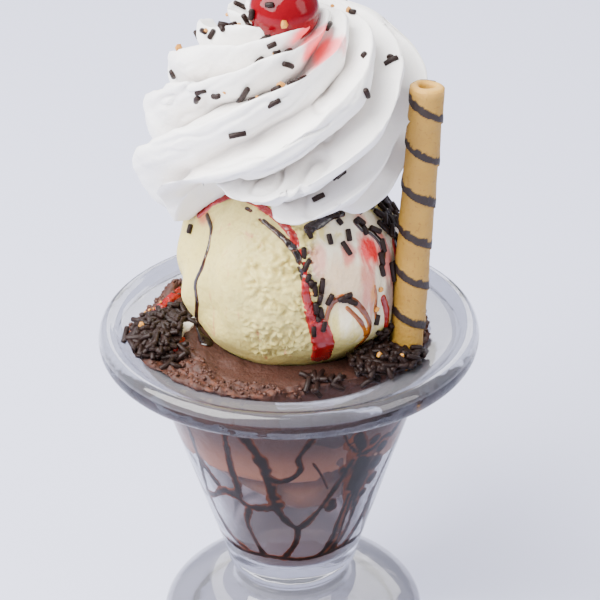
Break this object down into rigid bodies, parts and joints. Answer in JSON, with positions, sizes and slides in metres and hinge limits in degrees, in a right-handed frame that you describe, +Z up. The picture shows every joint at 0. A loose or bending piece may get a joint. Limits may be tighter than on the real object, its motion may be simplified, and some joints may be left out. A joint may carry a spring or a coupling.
{
  "type": "ice cream sundae in a glass dish",
  "caption": "Footed flared glass dish with a chocolate scoop, a vanilla scoop, piped whipped cream, a cherry, a rolled wafer and chocolate sprinkles.",
  "frame": {"origin": "centre of the underside of the foot, on the surface that the dish stands on", "axes": "+Z up, -Y towards the front of the sundae, +X to the right as seen from the front, where the wafer roll stands"},
  "size_m": [0.1198, 0.1194, 0.2305],
  "materials": {
    "glass": "clear heavy pressed glass, polished",
    "chocolate_ice_cream": "soft, slightly moist, crumbly at its edge",
    "vanilla_ice_cream": "creamy, smooth at the left, torn and porous at the front",
    "whipped_cream": "soft satin",
    "cherry": "wet gloss",
    "wafer": "dry baked wafer with a winding chocolate line",
    "sprinkles": "satin chocolate",
    "chocolate_sauce": "wet gloss, amber where thin",
    "red_sauce": "wet gloss",
    "nuts": "chopped, dry"
  },
  "bodies": {
    "root": {"glass_dish": "glass", "chocolate_scoop": "chocolate_ice_cream", "vanilla_scoop": "vanilla_ice_cream", "whipped_cream": "whipped_cream", "cherry": "cherry", "wafer_roll": "wafer", "sprinkles_left": "sprinkles", "sprinkles_right": "sprinkles"}
  },
  "joints": []
}
